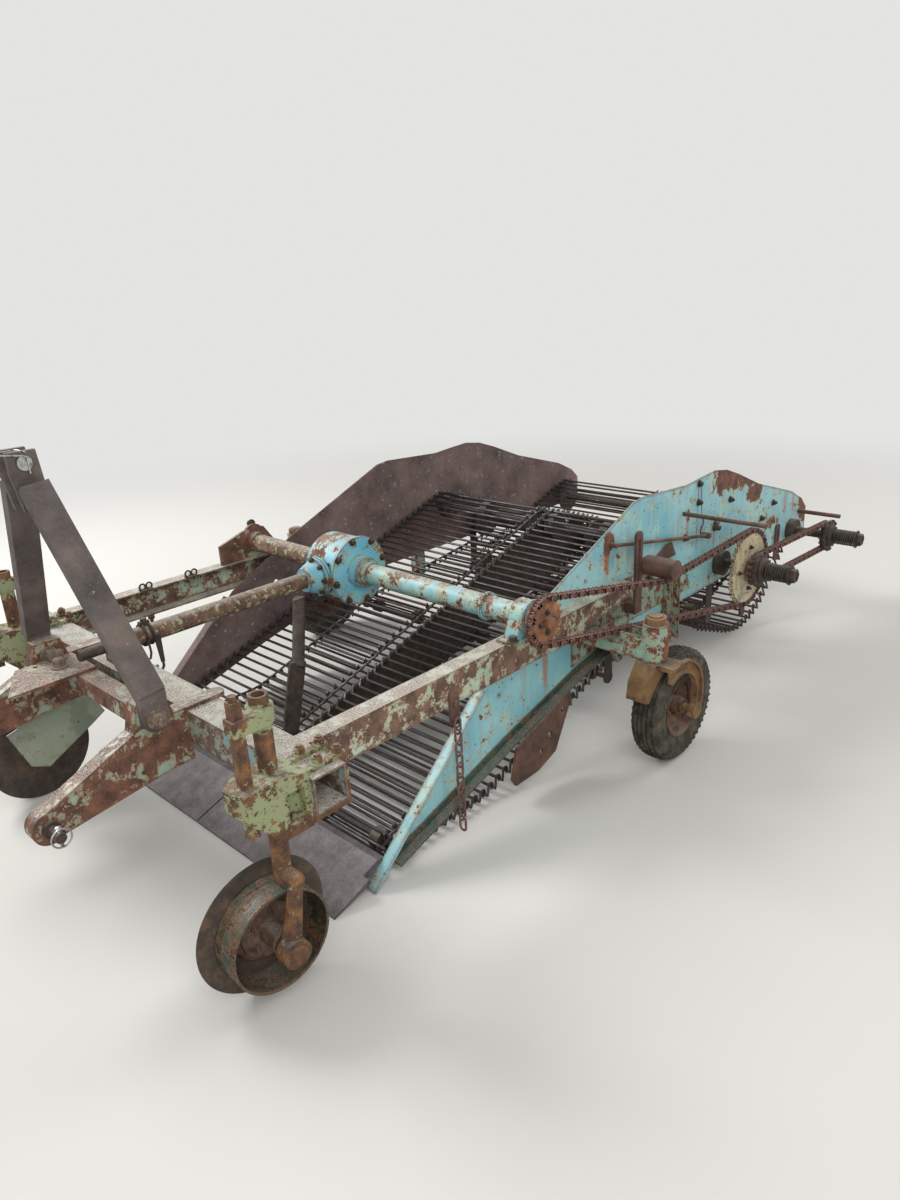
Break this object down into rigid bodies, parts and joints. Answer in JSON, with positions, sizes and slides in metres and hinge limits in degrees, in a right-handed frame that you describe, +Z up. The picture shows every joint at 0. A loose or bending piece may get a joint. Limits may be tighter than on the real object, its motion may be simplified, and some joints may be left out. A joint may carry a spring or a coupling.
{
  "type": "potato digger",
  "caption": "Mounted two-row potato digger: rod webs between side plates, A-frame hitch, chain drive, disc coulters in front and castor wheels at the sides.",
  "frame": {"origin": "middle of the machine's footprint, on the ground under the centre of its bounding box", "axes": "+X rearwards along the machine, +Y to the machine's right, +Z up"},
  "size_m": [3.779, 2.201, 1.32],
  "materials": {
    "turquoise_paint": "light turquoise paint, flaked to rust",
    "green_grey_paint": "faded green-grey paint with rust",
    "dark_green_paint": "dark green paint with rust",
    "grey_worn_steel": "faded paint over brown rust",
    "rusty_steel": "brown rust, matt",
    "dark_steel": "dark weathered steel",
    "cream_worn_iron": "cream paint worn to iron",
    "oily_chain_steel": "rusty oiled chain steel",
    "bright_steel": "bright pins and worn steel",
    "tyre_rubber": "dusty black rubber"
  },
  "bodies": {
    "frame": {"front_beam": "grey_worn_steel", "main_beam_left": "turquoise_paint", "main_beam_right": "turquoise_paint", "lower_arms": "turquoise_paint", "lower_link_pins": "bright_steel", "a_frame": "rusty_steel", "top_link_pin": "bright_steel", "shield_plate": "green_grey_paint", "input_tube": "rusty_steel", "input_shaft": "bright_steel", "gearbox": "turquoise_paint", "cross_tube_left": "turquoise_paint", "cross_tube_right": "turquoise_paint", "bearing_left": "turquoise_paint", "bearing_right": "turquoise_paint", "driving_sprocket": "dark_steel", "main_chain": "oily_chain_steel", "driven_sprocket": "cream_worn_iron", "front_clutch": "dark_steel", "rear_chain": "oily_chain_steel", "rear_clutch": "dark_steel", "front_web_shaft": "dark_steel", "rear_web_shaft": "dark_steel", "chain_idler": "rusty_steel", "guard_rods": "rusty_steel", "side_plate_left": "turquoise_paint", "side_plate_right": "rusty_steel", "side_rails": "dark_green_paint", "centre_frame": "rusty_steel", "web_rollers": "dark_steel", "front_web_left": "rusty_steel", "front_web_right": "rusty_steel", "rear_web_left": "rusty_steel", "rear_web_right": "rusty_steel", "share": "dark_steel", "skid_plate": "rusty_steel", "hanging_chain": "oily_chain_steel", "castor_bracket_left": "green_grey_paint", "castor_bracket_right": "green_grey_paint", "coulter_stem_left": "rusty_steel", "coulter_stem_right": "rusty_steel"},
    "castor_left": {"castor_fork_left": "rusty_steel"},
    "castor_right": {"castor_fork_right": "rusty_steel"},
    "wheel_left": {"castor_wheel_left": "tyre_rubber"},
    "wheel_right": {"castor_wheel_right": "tyre_rubber"},
    "disc_left": {"coulter_disc_left": "dark_steel"},
    "disc_right": {"coulter_disc_right": "dark_steel"}
  },
  "joints": [
    {"name": "castor_left_swivel", "type": "hinge", "parent": "frame", "child": "castor_left", "pos_m": [-0.0475, -1, 0.495], "axis": [0, 0, 1], "range_deg": [-40, 40]},
    {"name": "castor_right_swivel", "type": "hinge", "parent": "frame", "child": "castor_right", "pos_m": [-0.0475, 1, 0.495], "axis": [0, 0, 1], "range_deg": [-40, 40]},
    {"name": "wheel_left_spin", "type": "hinge", "parent": "castor_left", "child": "wheel_left", "pos_m": [0.0825, -1, 0.21], "axis": [0, 1, 0], "continuous": true},
    {"name": "wheel_right_spin", "type": "hinge", "parent": "castor_right", "child": "wheel_right", "pos_m": [0.0825, 1, 0.21], "axis": [0, 1, 0], "continuous": true},
    {"name": "disc_left_spin", "type": "hinge", "parent": "frame", "child": "disc_left", "pos_m": [-1.5425, -0.785, 0.183], "axis": [-0.0436, -0.999, 0], "continuous": true},
    {"name": "disc_right_spin", "type": "hinge", "parent": "frame", "child": "disc_right", "pos_m": [-1.5425, 0.595, 0.183], "axis": [-0.0436, 0.999, 0], "continuous": true}
  ]
}
